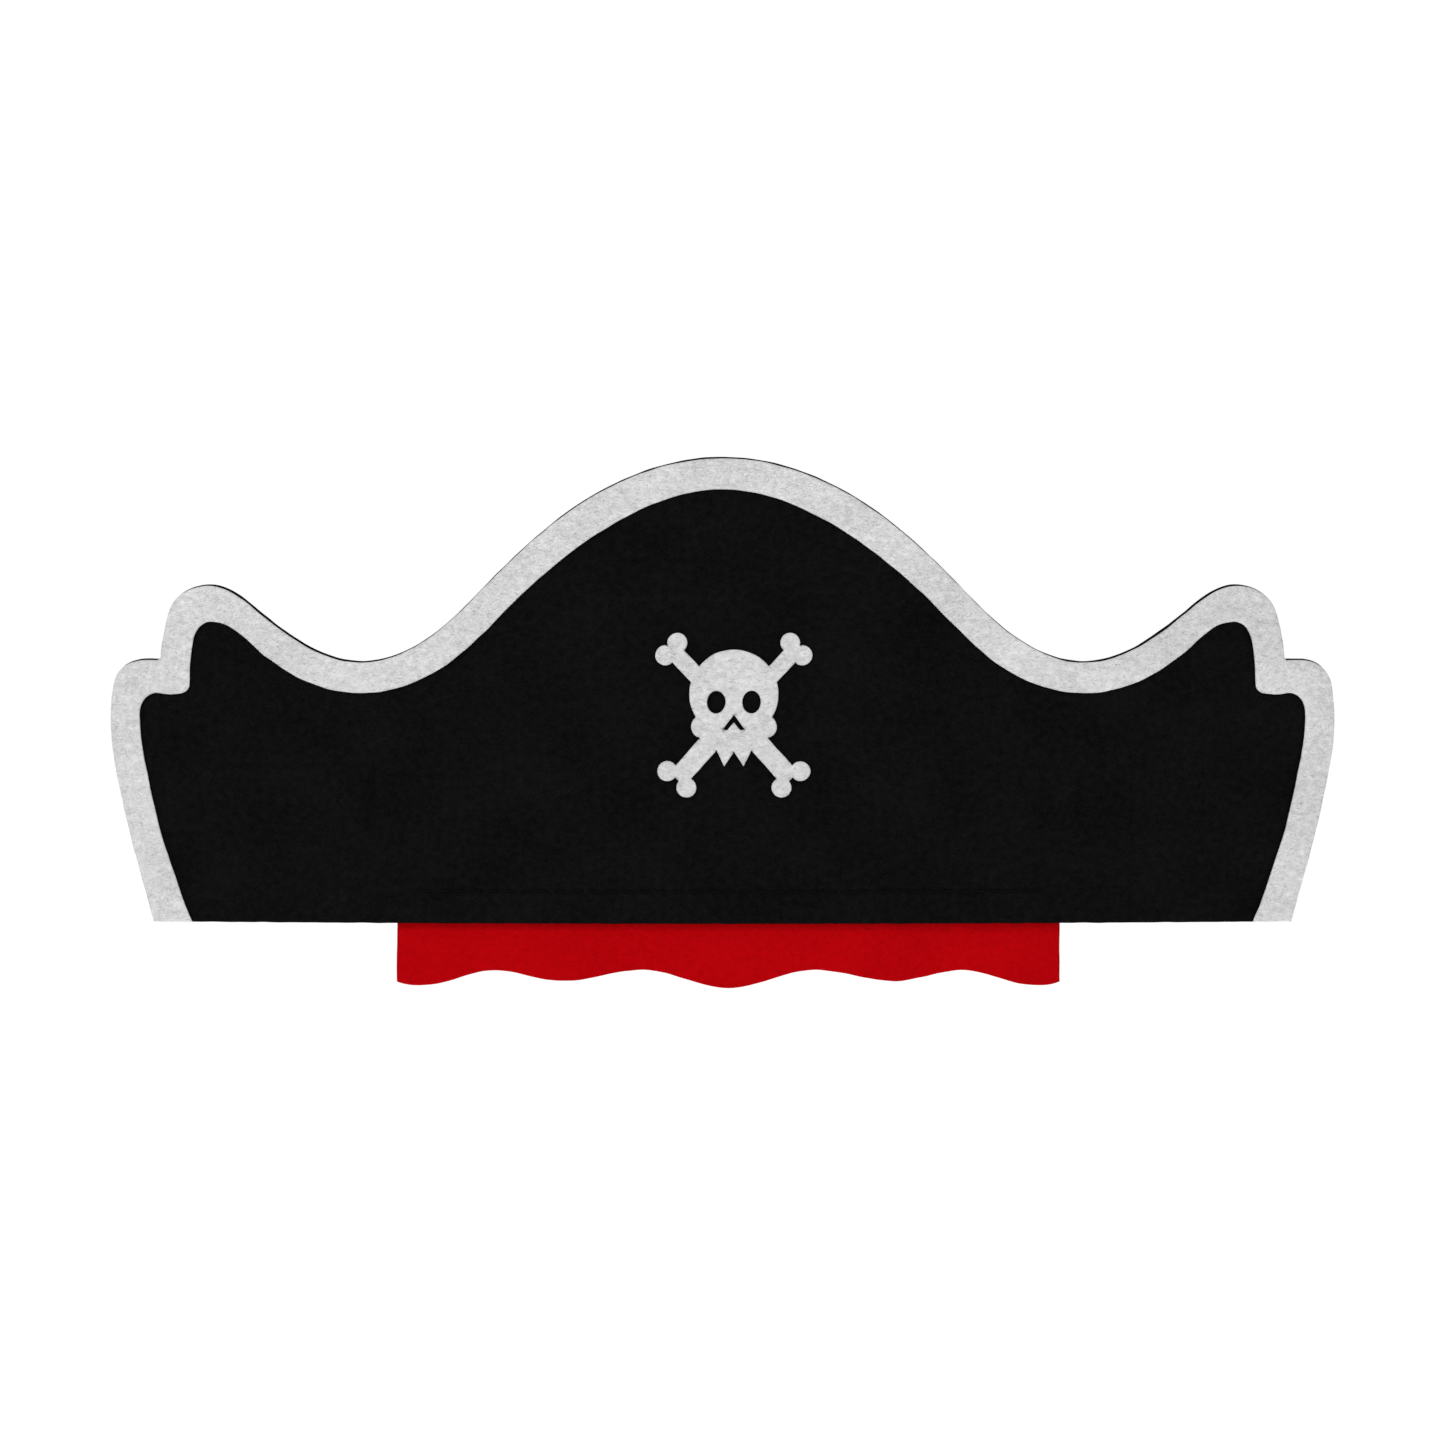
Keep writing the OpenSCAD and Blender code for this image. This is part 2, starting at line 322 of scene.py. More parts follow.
def felt(name, loops, r_in, r_out, step, edge, seed, fuzz=0.05 * MM, fine=(), shape=None, press=None):
    """A sheet of felt between two radii, with soft cut edges.

    step is the spacing of its mesh, edge the width of its rounded rim and fuzz its unevenness.
    fine is a list of ((low x, low z), (high x, high z), step) where the mesh is finer. shape
    moves the whole sheet outwards by shape(x, z), and press thins it by press(x, z) on each face.
    """
    loops = [smooth_loop(loop, OUTLINE_STEP) for loop in loops]
    for k, loop in enumerate(loops):
        sharp = turns(loop) > CORNER
        for axis in (0, 1):
            axis_seed = seed + 11 * axis + k
            move = CUT_WOBBLE * noise_at(loop[:, 0], loop[:, 1], CUT_WOBBLE_SIZE, axis_seed)
            loop[:, axis] += np.where(sharp, 0, move)
    cut = Cut(loops)
    outline = cut.a
    rings = []
    for depth in RING_DEPTHS:
        for loop in loops:
            along = np.roll(loop, -1, axis=0) - np.roll(loop, 1, axis=0)
            along /= np.linalg.norm(along, axis=1)[:, None] + 1e-12
            across = np.stack([-along[:, 1], along[:, 0]], axis=1)
            for side in (-1, 1):
                ring = loop + side * depth * edge * across
                clear = cut.distance(ring) > RING_CLEAR * depth * edge
                rings.append(ring[cut.inside(ring) & clear])
    low, high = outline.min(0), outline.max(0)
    grids = [hex_grid(low, high, step)]
    for a, b, small in fine:
        a, b = np.array(a), np.array(b)
        grids = [g[~((g > a) & (g < b)).all(1)] for g in grids]
        grids.append(hex_grid(a, b, small))
    within = RING_DEPTHS[-1] * edge + GRID_CLEAR * step
    inner = [grid[cut.inside(grid) & (cut.distance(grid) > within)] for grid in grids]
    points = np.vstack([outline] + rings + inner)
    made = delaunay_2d_cdt([Vector(p / MM) for p in points], cut.rim, [], 0, 1e-6)
    flat = np.array([tuple(v) for v in made[0]]) * MM
    tris = np.array([f for f in made[2] if len(f) == 3])
    tris = tris[cut.inside(flat[tris].mean(1))]
    used, tris = np.unique(tris, return_inverse=True)
    tris = tris.reshape(-1, 3)
    flat = flat[used]

    x, z = flat[:, 0], flat[:, 1]
    d = cut.distance(flat)
    d = np.where(d < MERGE, 0, d)
    rise = (1 - np.clip(1 - d / edge, 0, 1) ** EDGE_POWER) ** (1 / EDGE_POWER)
    half = (r_out - r_in) / 2 * rise
    middle = (r_out + r_in) / 2 + bow_wave(x, z)
    if shape is not None:
        middle = middle + shape(x, z)

    def uneven(face_seed):
        waves = sum(share * noise_at(x, z, size, face_seed + extra) for share, size, extra in FUZZ_WAVES)
        return fuzz * rise * waves

    pressed = press(x, z) * rise if press is not None else 0
    front_r = middle + half + uneven(seed) - pressed
    back_r = middle - half + uneven(seed + BACK_SEED) + pressed

    at_rim = d == 0
    back_index = np.arange(len(flat))
    back_index[~at_rim] = len(flat) + np.arange((~at_rim).sum())
    co = np.vstack([on_bow(x, z, front_r), on_bow(x, z, back_r)[~at_rim]])
    front = tris.copy()
    first = flat[front[:, 1]] - flat[front[:, 0]]
    second = flat[front[:, 2]] - flat[front[:, 0]]
    clockwise = first[:, 0] * second[:, 1] - first[:, 1] * second[:, 0] < 0
    front[clockwise] = front[clockwise][:, ::-1]
    back = back_index[front[:, ::-1]]
    mesh = bpy.data.meshes.new(name)
    mesh.from_pydata(co.tolist(), [], np.vstack([front, back]).tolist())
    cloth = np.stack([PANEL_FRONT_R * np.arcsin(x / PANEL_FRONT_R), z], axis=1)
    set_cloth_map(mesh, np.vstack([cloth, cloth[~at_rim]]))
    return finished(name, mesh)


def set_cloth_map(mesh, per_vertex):
    """The UV map "cloth" holds each point's place on the flat cloth, in metres."""
    layer = mesh.uv_layers.new(name="cloth")
    at = np.empty(len(mesh.loops), np.int32)
    mesh.loops.foreach_get("vertex_index", at)
    layer.data.foreach_set("uv", per_vertex[at].astype(np.float32).ravel())


def finished(name, mesh):
    """A new smooth-shaded object of a mesh, in the scene."""
    mesh.validate()
    mesh.shade_smooth()
    piece = bpy.data.objects.new(name, mesh)
    bpy.context.scene.collection.objects.link(piece)
    return piece


# ---- materials ----------------------------------------------------------------------

class Nodes:
    """A new material and short ways to add and join its nodes."""

    def __init__(self, name):
        self.material = bpy.data.materials.new(name)
        self.material.use_nodes = True
        self.tree = self.material.node_tree
        self.shader = self.tree.nodes["Principled BSDF"]

    def add(self, kind, **settings):
        node = self.tree.nodes.new(kind)
        for key, value in settings.items():
            setattr(node, key, value)
        return node

    def plug(self, target, socket, value):
        if isinstance(value, bpy.types.NodeSocket):
            self.tree.links.new(value, target.inputs[socket])
        else:
            target.inputs[socket].default_value = value

    def maths(self, operation, a, b=0.0, c=0.0):
        node = self.add("ShaderNodeMath", operation=operation)
        for i, value in enumerate((a, b, c)):
            self.plug(node, i, value)
        return node.outputs[0]

    def cloth(self):
        """Place on the flat cloth, in millimetres."""
        uv = self.add("ShaderNodeUVMap", uv_map="cloth")
        scale = self.add("ShaderNodeVectorMath", operation="SCALE")
        self.plug(scale, 0, uv.outputs[0])
        self.plug(scale, "Scale", 1 / MM)
        return scale.outputs[0]

    def turned(self, vector, angle, scale):
        node = self.add("ShaderNodeMapping")
        self.plug(node, "Vector", vector)
        self.plug(node, "Rotation", (0, 0, angle))
        self.plug(node, "Scale", scale)
        return node.outputs[0]

    def noise(self, vector, scale, detail, roughness=0.5):
        node = self.add("ShaderNodeTexNoise")
        self.plug(node, "Vector", vector)
        self.plug(node, "Scale", scale)
        self.plug(node, "Detail", detail)
        self.plug(node, "Roughness", roughness)
        return node

    def ramp(self, value, stops):
        node = self.add("ShaderNodeValToRGB")
        self.plug(node, 0, value)
        band = node.color_ramp
        while len(band.elements) < len(stops):
            band.elements.new(0.5)
        for element, (position, colour) in zip(band.elements, stops):
            element.position = position
            element.color = (*colour, 1)
        return node.outputs[0]

    def bump(self, height, distance, strength=1.0, under=None):
        node = self.add("ShaderNodeBump")
        self.plug(node, "Height", height)
        self.plug(node, "Distance", distance)
        self.plug(node, "Strength", strength)
        if under is not None:
            self.plug(node, "Normal", under)
        return node.outputs[0]


def grey(level):
    return (level, level, level)


def felt_material(name, dark, middle, light, sheen, specular, fibre_depth):
    """Pressed fibres lying every way, in three tones, over soft mottling. Scales are per millimetre."""
    warp_scale, warp_reach = 0.35, 2.2
    along_strand, across_strand = 0.5, 4.2
    sharpness = 7.0              # how narrow a strand is beside the gaps between strands
    mottle_scale, patch_scale = 0.55, 0.05
    strand_tone, mottle_tone, patch_tone = 0.34, 0.5, 0.3
    n = Nodes(name)
    place = n.cloth()
    warp = n.noise(place, warp_scale, 3)
    moved = n.add("ShaderNodeVectorMath", operation="MULTIPLY_ADD")
    n.plug(moved, 0, warp.outputs["Color"])
    n.plug(moved, 1, (warp_reach, warp_reach, 0))
    n.plug(moved, 2, place)
    strands = None
    for k, angle in enumerate((0.2, 0.95, 1.75, 2.5)):
        lie = n.turned(moved.outputs[0], angle, (along_strand + 0.08 * k, across_strand - 0.3 * k, 1))
        wave = n.noise(lie, 1.0, 1.5, 0.6).outputs[0]
        off = n.maths("ABSOLUTE", n.maths("MULTIPLY_ADD", wave, sharpness, -sharpness / 2))
        ridge = n.maths("MAXIMUM", n.maths("SUBTRACT", 1.0, off), 0.0)
        strands = ridge if strands is None else n.maths("MAXIMUM", strands, ridge)
    mottle = n.noise(place, mottle_scale, 4, 0.65).outputs[0]
    patches = n.noise(place, patch_scale, 3, 0.55).outputs[0]
    tone = n.maths("MULTIPLY_ADD", mottle, mottle_tone, n.maths("MULTIPLY", patches, patch_tone))
    tone = n.maths("MULTIPLY_ADD", strands, strand_tone, tone)
    n.plug(n.shader, "Base Color", n.ramp(tone, ((0.3, dark), (0.55, middle), (0.85, light))))
    n.plug(n.shader, "Roughness", 0.94)
    n.plug(n.shader, "Specular IOR Level", specular)
    n.plug(n.shader, "Sheen Weight", sheen)
    n.plug(n.shader, "Sheen Roughness", 0.45)
    n.plug(n.shader, "Sheen Tint", (*light, 1))
    coarse = n.bump(mottle, 0.35 * MM, 0.5)
    n.plug(n.shader, "Normal", n.bump(strands, fibre_depth, 0.75, coarse))
    return n.material


def elastic_material():
    """Black knitted elastic: a column of small slanted loops down each rib. Its colour is lighter on the
    loops' crests, a painted highlight, and darker in the grooves between the ribs, painted shade.
    """
    n = Nodes("knitted_elastic")
    place = n.cloth()
    split = n.add("ShaderNodeSeparateXYZ")
    n.plug(split, 0, place)
    along, across = split.outputs[0], split.outputs[1]
    rib = n.maths("FRACT", n.maths("MULTIPLY", across, RIBS / CLOTH_WIDTH_MM))
    lean = n.maths("ABSOLUTE", n.maths("SUBTRACT", rib, 0.5))
    phase = n.maths("ADD", n.maths("MULTIPLY", along, LOOPS_PER_MM), lean)
    wave = n.maths("SINE", n.maths("MULTIPLY", phase, 2 * math.pi))
    loops = n.maths("MULTIPLY_ADD", wave, 0.5, 0.5)
    groove = n.maths("POWER", n.maths("MULTIPLY", lean, 2.0), 5.0)
    fuzz = n.noise(place, 2.5, 3).outputs[0]
    height = n.maths("SUBTRACT", n.maths("MULTIPLY_ADD", fuzz, 0.35, loops), groove)
    patches = n.maths("MULTIPLY", n.noise(place, 0.12, 2).outputs[0], 0.35)
    # The colour follows the height: a painted highlight on the loops' crests and painted shade in the
    # grooves between the ribs, over random patches of tone.
    tone = n.maths("MULTIPLY_ADD", height, 0.55, patches)
    dark, light = (0.0035, 0.0035, 0.0038), (0.016, 0.016, 0.018)
    n.plug(n.shader, "Base Color", n.ramp(tone, ((0.1, dark), (0.9, light))))
    n.plug(n.shader, "Roughness", 0.72)
    n.plug(n.shader, "Specular IOR Level", 0.22)
    n.plug(n.shader, "Sheen Weight", 0.03)
    n.plug(n.shader, "Normal", n.bump(height, 0.16 * MM, 0.8))
    return n.material


def thread_material():
    """Black polyester thread: fine fibres that lie slantwise along each ply."""
    n = Nodes("black_thread")
    place = n.cloth()
    fibre = n.noise(n.turned(place, 0.5, (1.5, 9, 1)), 1.0, 3).outputs[0]
    n.plug(n.shader, "Base Color", n.ramp(fibre, ((0.3, grey(0.0006)), (0.75, grey(0.003)))))
    n.plug(n.shader, "Roughness", 0.7)
    n.plug(n.shader, "Specular IOR Level", 0.05)
    n.plug(n.shader, "Normal", n.bump(fibre, 0.05 * MM, 0.6))
    return n.material


BLACK_FELT = felt_material("black_felt", grey(0.0009), grey(0.0018), grey(0.006),
                           sheen=0.006, specular=0.02, fibre_depth=0.12 * MM)
WHITE_FELT = felt_material("white_felt", grey(0.17), grey(0.46), grey(0.7),
                           sheen=0.05, specular=0.12, fibre_depth=0.16 * MM)
RED_FELT = felt_material("red_felt", (0.21, 0.0002, 0.001), (0.32, 0.0004, 0.0018), (0.4, 0.0008, 0.003),
                         sheen=0.003, specular=0.012, fibre_depth=0.07 * MM)
ELASTIC = elastic_material()
THREAD = thread_material()


def dress(piece, material, slot, *nodes):
    """Give a piece its material, and hide the CAD nodes that it stands for; slot is not used."""
    piece.data.materials.append(material)
    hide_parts(*nodes)
    return piece


# ---- stitching ----------------------------------------------------------------------

def solids(name):
    """(lowest, highest) corner of each separate solid of a node."""
    bm = node_mesh(name)
    left, found = set(bm.verts), []
    while left:
        stack, group = [left.pop()], []
        while stack:
            v = stack.pop()
            group.append(tuple(v.co))
            for e in v.link_edges:
                w = e.other_vert(v)
                if w in left:
                    left.discard(w)
                    stack.append(w)
        co = np.array(group)
        found.append((co.min(0), co.max(0)))
    return found


seam_box = [np.array(c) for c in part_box("bandana_stitches")]
SEAM_Z = (seam_box[0][2] + seam_box[1][2]) / 2
ZIG_BOX = {side: [np.array(c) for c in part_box(f"strap_stitches_{side}")] for side in ("left", "right")}
STITCH_X = sorted({round(float((a[0] + b[0]) / 2), 5) for a, b in solids("bandana_stitches")})
STITCH_HALF = (STITCH_X[1] - STITCH_X[0]) * STITCH_SHARE


def zigzag_points(side):
    """The holes of one row of anchor stitches, from the bottom up."""
    (x0, _, z0), (x1, _, z1) = ZIG_BOX[side]
    x0, x1, z0, z1 = x0 + THREAD_R, x1 - THREAD_R, z0 + THREAD_R, z1 - THREAD_R
    return [(x1 if k % 2 else x0, z0 + (z1 - z0) * k / ZIGZAGS) for k in range(ZIGZAGS + 1)]


HOLES = [(x + s * STITCH_HALF, SEAM_Z) for x in STITCH_X for s in (-1, 1)]
HOLES += zigzag_points("left") + zigzag_points("right")


def stitch_press(x, z):
    """How far the stitches pull each face of the felt in."""
    depth = np.zeros(len(x))
    seam = (x > STITCH_X[0] - PRESS_REACH) & (x < STITCH_X[-1] + PRESS_REACH)
    depth += np.where(seam, SEAM_PRESS * np.exp(-((z - SEAM_Z) / SEAM_PRESS_WIDTH) ** 2), 0)
    for hx, hz in HOLES:
        near = (np.abs(x - hx) < PRESS_REACH) & (np.abs(z - hz) < PRESS_REACH)
        if near.any():
            square = (x[near] - hx) ** 2 + (z[near] - hz) ** 2
            depth[near] += HOLE_PRESS * np.exp(-square / HOLE_PRESS_WIDTH ** 2)
    return np.minimum(depth, DEEPEST_PRESS)


def tube(path, phase):
    """One ply: (rings of vertices round a path that winds about the thread's middle, length run)."""
    path = np.array(path)
    along = np.gradient(path, axis=0)
    along /= np.linalg.norm(along, axis=1)[:, None]
    up = np.tile(np.array([0.0, -1.0, 0.0]), (len(path), 1))
    side = np.cross(along, up)
    side /= np.linalg.norm(side, axis=1)[:, None]
    up = np.cross(side, along)
    run = np.r_[0, np.cumsum(np.linalg.norm(np.diff(path, axis=0), axis=1))]
    turn = 2 * math.pi * run / PLY_TWIST + phase
    middle = path + PLY_OFFSET * (np.cos(turn)[:, None] * side + np.sin(turn)[:, None] * up)
    rings = [middle + PLY_R * (math.cos(a) * side + math.sin(a) * up)
             for a in np.arange(PLY_SIDES) * 2 * math.pi / PLY_SIDES]
    return np.stack(rings, axis=1), run


def thread(name, runs):
    """A piece of sewing thread: each run is a list of points in the row frame."""
    apart, side_width = 0.01, 0.3 * MM   # on the cloth map, from ply to ply and across one side
    sides = PLY_SIDES
    co, faces, cloth = [], [], []
    for path in runs:
        for phase in (0, math.pi):
            rings, run = tube(path, phase)
            base = len(co)
            for ring, length in zip(rings, run):
                co += ring.tolist()
                cloth += [(length + apart * base, k * side_width) for k in range(sides)]
            for i in range(len(rings) - 1):
                for k in range(sides):
                    a, b = base + i * sides + k, base + i * sides + (k + 1) % sides
                    faces.append((a, b, b + sides, a + sides))
            faces.append(tuple(base + k for k in range(sides))[::-1])
            faces.append(tuple(base + (len(rings) - 1) * sides + k for k in range(sides)))
    mesh = bpy.data.meshes.new(name)
    mesh.from_pydata(co, [], faces)
    set_cloth_map(mesh, np.array(cloth))
    bm = bmesh.new()
    bm.from_mesh(mesh)
    bmesh.ops.recalc_face_normals(bm, faces=bm.faces)
    bm.to_mesh(mesh)
    return finished(name, mesh)


def stitch_run(a, b, r, side):
    """A stitch from hole a to hole b, arched off the face at radius r.

    side is 1 on the front and -1 on the back.
    """
    t = np.linspace(0, 1, STITCH_POINTS)
    x, z = a[0] + (b[0] - a[0]) * t, a[1] + (b[1] - a[1]) * t
    arch = np.sin(math.pi * t) ** ARCH_POWER
    stand = side * (THREAD_R * ARCH_HEIGHT * arch - HOLE_DEPTH * (1 - arch))
    return on_bow(x, z, r + bow_wave(x, z) + stand)


# ---- the pieces of felt -------------------------------------------------------------

def seam_patches():
    """Where the felt's mesh is finer: round the seam, and round each row of anchor stitches."""
    across, up = SEAM_PATCH
    patches = [((STITCH_X[0] - across, SEAM_Z - up), (STITCH_X[-1] + across, SEAM_Z + up), PATCH_STEP)]
    for low, high in ZIG_BOX.values():
        low, high = low - ZIGZAG_PATCH, high + ZIGZAG_PATCH
        patches.append(((low[0], low[2]), (high[0], high[2]), PATCH_STEP))
    return patches


panel_in, panel_out = radii("front_panel")
panel = felt("felt_panel", outer_loops("front_panel"), panel_in, panel_out,
             step=1.25 * MM, edge=0.8 * MM, seed=1.0, fine=seam_patches(), press=stitch_press)
dress(panel, BLACK_FELT, "black_felt", "front_panel")
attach(panel, HAT)

trim_out = radii("edge_trim")[1]
trim = felt("felt_edge_trim", outer_loops("edge_trim"), panel_out - SINK, trim_out,
            step=1.1 * MM, edge=0.6 * MM, seed=2.0)
dress(trim, WHITE_FELT, "white_felt", "edge_trim")
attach(trim, HAT)

badge_out = radii("skull_and_crossbones")[1]
badge = felt("felt_skull_badge", outer_loops("skull_and_crossbones"), panel_out - SINK, badge_out,
             step=0.8 * MM, edge=0.55 * MM, seed=5.0)
dress(badge, WHITE_FELT, "white_felt", "skull_and_crossbones")
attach(badge, HAT)

# The red strip is one length of felt from its sewn margin to its scalloped edge.
margin_low, margin_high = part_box("bandana_margin")
flap_low, flap_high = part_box("bandana_flap")
strip = outer_loops("bandana_flap")[0]
strip[strip[:, 1] > flap_high[2] - 0.05 * MM, 1] = margin_high[2]
HANG = -flap_low[2]              # how far the strip hangs below the panel


def flap_wave(x, z):
    """The free edge waves a little in and out, more towards its lower edge."""
    depth = np.clip(-z / HANG, 0, 1) ** FLAP_POWER
    wave = FLAP_WAVE * np.cos(2 * math.pi * (x - FLAP_WAVE_START) / FLAP_WAVE_LENGTH)
    return depth * (wave + FLAP_RIPPLE * noise_at(x, z, FLAP_RIPPLE_SIZE, FLAP_RIPPLE_SEED))


strip_in, strip_out = radii("bandana_margin")
bandana = felt("felt_bandana", [strip], strip_in, strip_out,
               step=1.0 * MM, edge=0.5 * MM, seed=8.0, fuzz=0.03 * MM, fine=seam_patches()[:1],
               shape=flap_wave, press=lambda x, z: 0.6 * stitch_press(x, z))
dress(bandana, RED_FELT, "red_felt", "bandana_margin", "bandana_fold", "bandana_flap")
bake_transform(bandana)

# ---- the strap ----------------------------------------------------------------------

end_low, end_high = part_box("strap_end_right")
back_low, back_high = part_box("strap_back")
strap_r_in, strap_r_out = radii("strap_end_right")
STRAP_T = strap_r_out - strap_r_in
STRAP_W = back_high[2] - back_low[2]
STRAP_Z = (back_high[2] + back_low[2]) / 2
SWING = next(j for j in frame["record"]["behaviour"]["joints"] if j["name"] == "strap_swing")["pos_m"]


def along(angle):
    """The unit vector in plan at an angle from +X."""
    return np.array([math.cos(angle), math.sin(angle)])


def arc(centre, radius, start, end, step=STRAP_STEP):
    """Points in plan along an arc from one angle to another."""
    count = max(2, round(abs(end - start) * radius / step) + 1)
    return [centre + radius * along(a) for a in np.linspace(start, end, count)]


def strap_line():
    """(right half of the strap's centreline in plan, how many of its points are sewn down).

    It runs from the sewn end round the turn, straight along the side and round to the middle of the back.
    """
    middle_r = (strap_r_in + strap_r_out) / 2
    axis = np.array([0, AXIS_Y])
    turn_at = math.asin(end_high[0] / strap_r_out)
    tail_at = math.asin(end_low[0] / strap_r_out)
    sewn = arc(axis, middle_r, tail_at - math.pi / 2, turn_at - math.pi / 2)
    bend_centre = sewn[-1] + BEND_R * np.array([-math.sin(turn_at), math.cos(turn_at)])
    back_r = back_high[0] - STRAP_T / 2
    back_centre = np.array([0, back_high[1] - STRAP_T / 2 - back_r])
    gap = back_centre - bend_centre
    lean = math.atan2(gap[1], gap[0]) - math.acos(-(back_r - BEND_R) / np.linalg.norm(gap))
    bend = arc(bend_centre, BEND_R, turn_at - math.pi / 2, lean, BEND_STEP)
    side_end = back_centre + back_r * along(lean)
    count = round(np.linalg.norm(side_end - bend[-1]) / STRAP_STEP)
    side = [bend[-1] + (side_end - bend[-1]) * k / count for k in range(1, count)]
    back = arc(back_centre, back_r, lean, math.pi / 2)
    return np.array(sewn + bend[1:] + side + back), len(sewn)


def split_at(line, y, first):
    """A line in plan cut where it first passes y after index first: (before, after), sharing a point."""
    k = next(i for i in range(first, len(line)) if line[i][1] > y)
    t = (y - line[k - 1][1]) / (line[k][1] - line[k - 1][1])
    cut = line[k - 1] + t * (line[k] - line[k - 1])
    return np.vstack([line[:k], cut]), np.vstack([cut, line[k:]])


def band_section():
    """(place across for a width of 1, half thickness there) of the ribbed elastic's cross-section."""
    s = np.linspace(-0.5, 0.5, RIBS * RIB_POINTS + 1)
    rib = np.abs(np.sin(math.pi * RIBS * (s + 0.5))) ** RIB_POWER
    past_flat = ((np.abs(s) - (0.5 - ROUND_OFF)) / ROUND_OFF).clip(0, 1)
    round_off = np.sqrt(np.clip(1 - past_flat ** 2, 0, 1))
    height = (0.5 * STRAP_T - RIB_HEIGHT * (1 - rib)) * round_off
    return s, height


def band(name, line, start, whole):
    """A ribbed elastic band along a line in plan.

    start is the length of strap before it, and whole the length of the whole strap.
    """
    s, height = band_section()
    tangent = np.gradient(line, axis=0)
    tangent /= np.linalg.norm(tangent, axis=1)[:, None]
    outwards = np.stack([tangent[:, 1], -tangent[:, 0]], axis=1)
    run = start + np.r_[0, np.cumsum(np.linalg.norm(np.diff(line, axis=0), axis=1))]
    ring_s = np.r_[s, s[::-1][1:-1]]
    ring_h = np.r_[height, -height[::-1][1:-1]]
    size = len(ring_s)
    co, cloth, faces = [], [], []
    for p, n, length in zip(line, outwards, run):
        wobble = STRAP_WOBBLE * noise.noise(Vector((length / STRAP_WOBBLE_SIZE, 0, 0)))
        from_end = min(length, whole - length)
        necked = min(1, max(0, (from_end - SEWN_END) / NECKING_REACH))
        width = STRAP_W * (1 - NECKING * necked)
        for a, h in zip(ring_s, ring_h):
            co.append((p[0] + n[0] * h, p[1] + n[1] * h, STRAP_Z + a * width + wobble))
            cloth.append((length, (a + 0.5) * STRAP_W))
    for i in range(len(line) - 1):
        for k in range(size):
            a, b = i * size + k, i * size + (k + 1) % size
            faces.append((a, b, b + size, a + size))
    last = (len(line) - 1) * size
    sides = len(faces)
    count = len(s)
    for base, way in ((0, -1), (last, 1)):
        for k in range(count - 1):
            top, top_next = base + k, base + k + 1
            low = base + (size - k) % size
            low_next = base + (size - k - 1) if k + 1 < count - 1 else base + count - 1
            cap = list(dict.fromkeys((top, top_next, low_next, low)))
            if len(cap) > 2:
                faces.append(tuple(cap[::way]))
    mesh = bpy.data.meshes.new(name)
    mesh.from_pydata(co, [], faces)
    set_cloth_map(mesh, np.array(cloth))
    bm = bmesh.new()
    bm.from_mesh(mesh)
    bm.faces.ensure_lookup_table()
    for face in bm.faces[sides:]:
        for e in face.edges:
            e.smooth = False
    bmesh.ops.recalc_face_normals(bm, faces=bm.faces)
    bm.to_mesh(mesh)
    return finished(name, mesh)


line, sewn_count = strap_line()
root_line, loop_half = split_at(line, SWING[1], sewn_count)
mirror = np.array([-1.0, 1.0])
root_length = np.linalg.norm(np.diff(root_line, axis=0), axis=1).sum()
left_root = (root_line * mirror)[::-1]
whole_loop = np.vstack([loop_half, (loop_half * mirror)[::-1][1:]])
loop_length = np.linalg.norm(np.diff(whole_loop, axis=0), axis=1).sum()

strap_length = loop_length + 2 * root_length
strap_right = band("elastic_end_right", root_line, 0, strap_length)
strap_left = band("elastic_end_left", left_root, root_length + loop_length, strap_length)
strap_loop = band("elastic_loop", whole_loop, root_length, strap_length)
dress(strap_right, ELASTIC, "elastic", "strap_end_right", "strap_root_right")
dress(strap_left, ELASTIC, "elastic", "strap_end_left", "strap_root_left")
dress(strap_loop, ELASTIC, "elastic", "strap_side_left", "strap_side_right", "strap_back")
for root in (strap_left, strap_right):
    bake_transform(root)
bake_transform(strap_loop)

# ---- thread -------------------------------------------------------------------------

seam_runs = []
for x in STITCH_X:
    a, b = (x - STITCH_HALF, SEAM_Z), (x + STITCH_HALF, SEAM_Z)
    seam_runs.append(stitch_run(a, b, panel_out - 0.2 * MM, 1))
    seam_runs.append(stitch_run(a, b, strip_in + 0.15 * MM, -1))
seam = thread("bandana_seam_thread", seam_runs)
dress(seam, THREAD, "thread", "bandana_stitches")
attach(seam, HAT)

for side in ("left", "right"):
    points = zigzag_points(side)
    runs = [stitch_run(a, b, panel_out - 0.25 * MM, 1) for a, b in zip(points, points[1:])]
    runs += [stitch_run(a, b, strap_r_in + 0.05 * MM, -1) for a, b in zip(points, points[1:])]
    anchor = thread(f"anchor_thread_{side}", runs)
    dress(anchor, THREAD, "thread", f"strap_stitches_{side}")
    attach(anchor, HAT)

# ---- the front panel's box, which the camera aims by --------------------------------


panel_low, panel_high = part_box("front_panel")

# ---- stage, light and camera --------------------------------------------------------

low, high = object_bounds()
centre = (low + high) / 2
FLOOR_Z = -0.17                  # just below the strap where it hangs straight down
FLOOR_HALF = 30.0
FLOOR_GLOW = 0.5
SKY_LIGHT = 0.6                  # how strongly the white surroundings light the hat
LIGHTS = (                       # name, place from the hat's middle, size and power
    ("key", (-0.9, -1.5, 1.3), 0.8, 16),
    ("fill", (1.3, -1.3, 0.5), 1.2, 5),
    ("back", (0.5, 1.6, 1.1), 1.0, 16),
)
LENS_MM, SENSOR_MM = 250, 36
PICTURE_SHARE = 0.86             # share of the picture's width that the hat takes


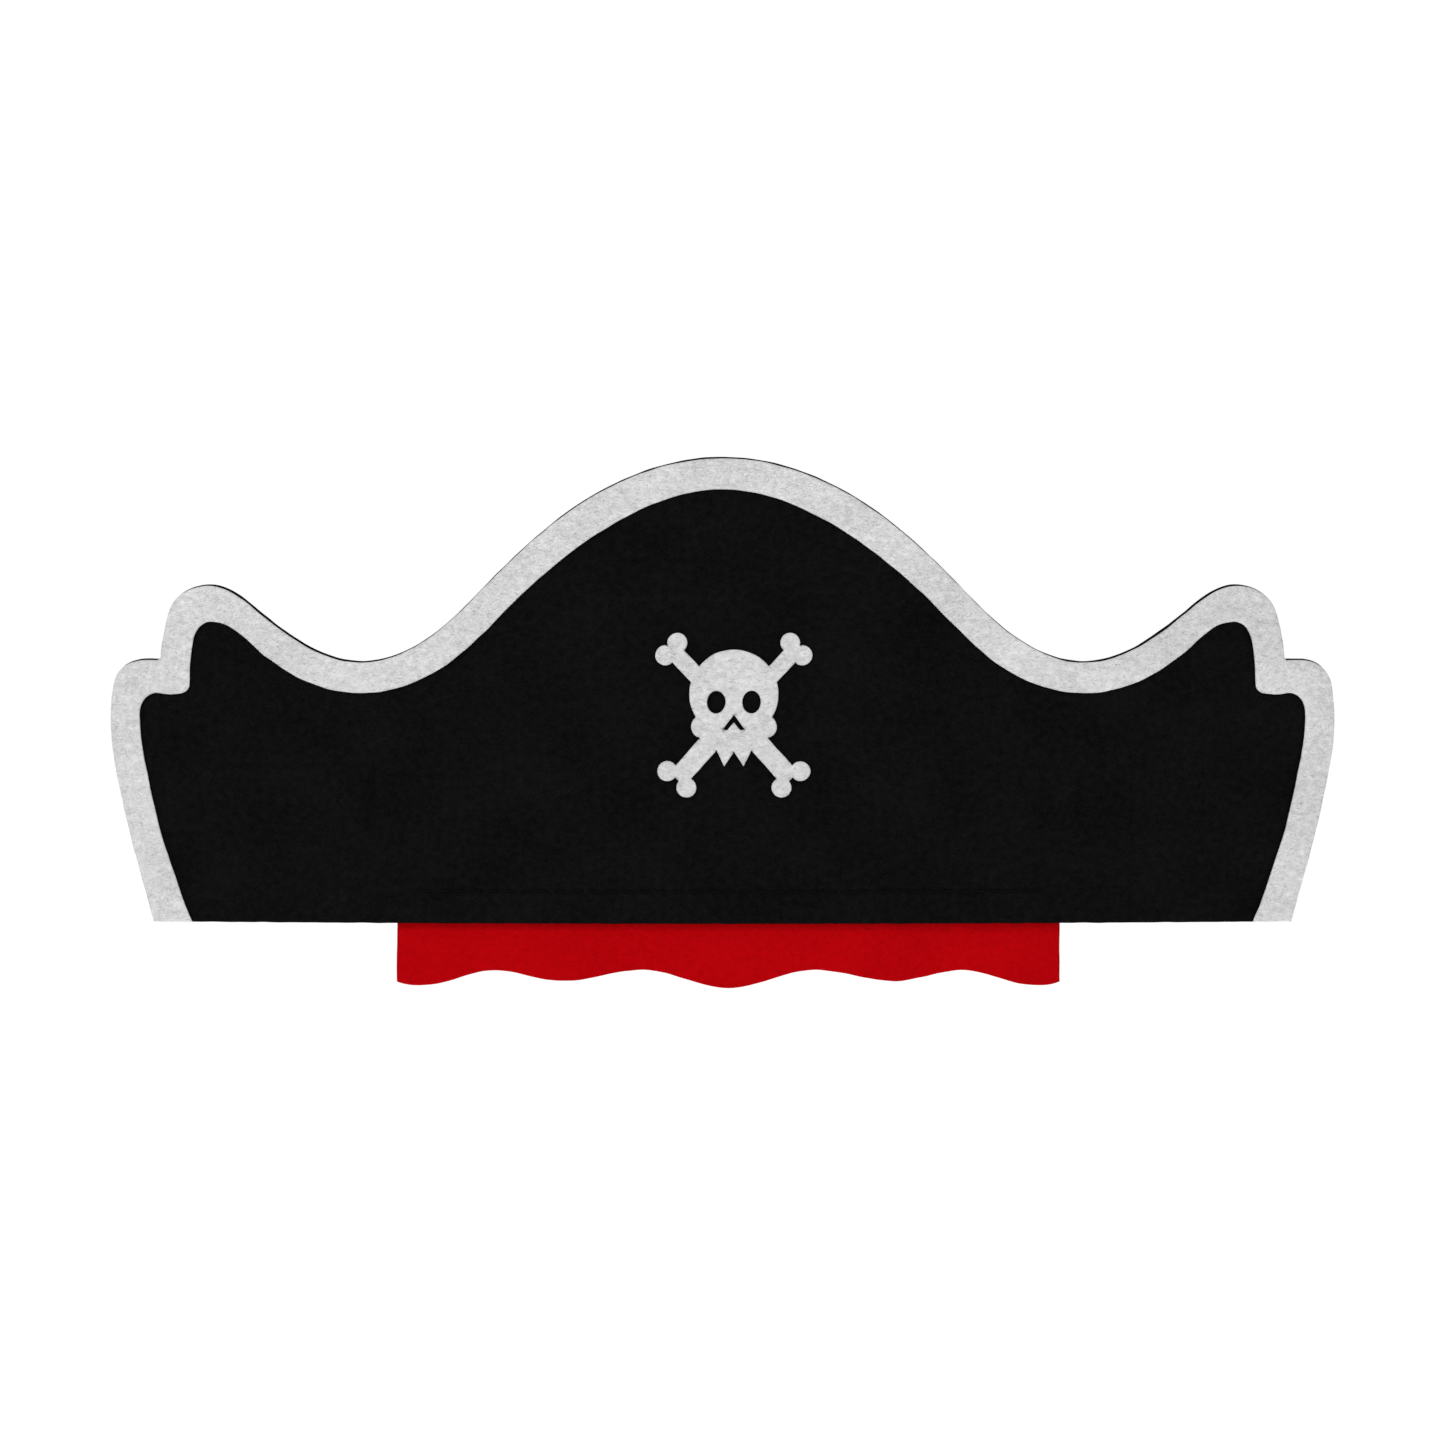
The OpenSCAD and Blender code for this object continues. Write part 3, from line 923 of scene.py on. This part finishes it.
def floor():
    """A pale floor that glows a little, so that it stays white under the hat."""
    mesh = bpy.data.meshes.new("floor")
    square = ((-1, -1), (1, -1), (1, 1), (-1, 1))
    mesh.from_pydata([(x * FLOOR_HALF, y * FLOOR_HALF, FLOOR_Z) for x, y in square], [], [(0, 1, 2, 3)])
    piece = bpy.data.objects.new("floor", mesh)
    bpy.context.scene.collection.objects.link(piece)
    n = Nodes("floor")
    tone = n.noise(n.add("ShaderNodeTexCoord").outputs["Object"], 3, 2).outputs[0]
    n.plug(n.shader, "Base Color", n.ramp(tone, ((0.2, grey(0.86)), (0.8, grey(0.88)))))
    n.plug(n.shader, "Roughness", 0.9)
    n.plug(n.shader, "Emission Color", (1, 1, 1, 1))
    n.plug(n.shader, "Emission Strength", FLOOR_GLOW)
    mesh.materials.append(n.material)


def soft_light(name, place, size, power):
    """A round lamp at a place from the hat's middle, aimed at it."""
    data = bpy.data.lights.new(name, "AREA")
    data.shape = "DISK"
    data.size = size
    data.energy = power
    lamp = bpy.data.objects.new(name, data)
    lamp.location = centre + Vector(place)
    lamp.rotation_euler = (centre - lamp.location).to_track_quat("-Z", "Y").to_euler()
    bpy.context.scene.collection.objects.link(lamp)


def studio():
    """White surroundings, which light the hat less than they show, and three lamps."""
    world = bpy.data.worlds.new("studio")
    world.use_nodes = True
    nodes, links = world.node_tree.nodes, world.node_tree.links
    sky = nodes["Background"]
    sky.inputs["Color"].default_value = (1, 1, 1, 1)
    seen = nodes.new("ShaderNodeLightPath").outputs["Is Camera Ray"]
    strength = nodes.new("ShaderNodeMapRange")
    strength.inputs["To Min"].default_value = SKY_LIGHT
    strength.inputs["To Max"].default_value = 1.0
    links.new(seen, strength.inputs["Value"])
    links.new(strength.outputs["Result"], sky.inputs["Strength"])
    bpy.context.scene.world = world
    for light in LIGHTS:
        soft_light(*light)


def camera():
    """Level and square to the front from far away, which shows the hat almost without perspective."""
    data = bpy.data.cameras.new("camera")
    data.lens = LENS_MM
    data.sensor_width = SENSOR_MM
    width = (high.x - low.x) / PICTURE_SHARE
    aim = Vector((0, low.y, (panel_high[2] + flap_low[2]) / 2))
    cam = bpy.data.objects.new("camera", data)
    cam.location = aim + Vector((0, -width * data.lens / data.sensor_width, 0))
    cam.rotation_euler = (math.pi / 2, 0, 0)
    bpy.context.scene.collection.objects.link(cam)
    bpy.context.scene.camera = cam


floor()
studio()
camera()
bpy.context.scene.view_settings.view_transform = "Standard"
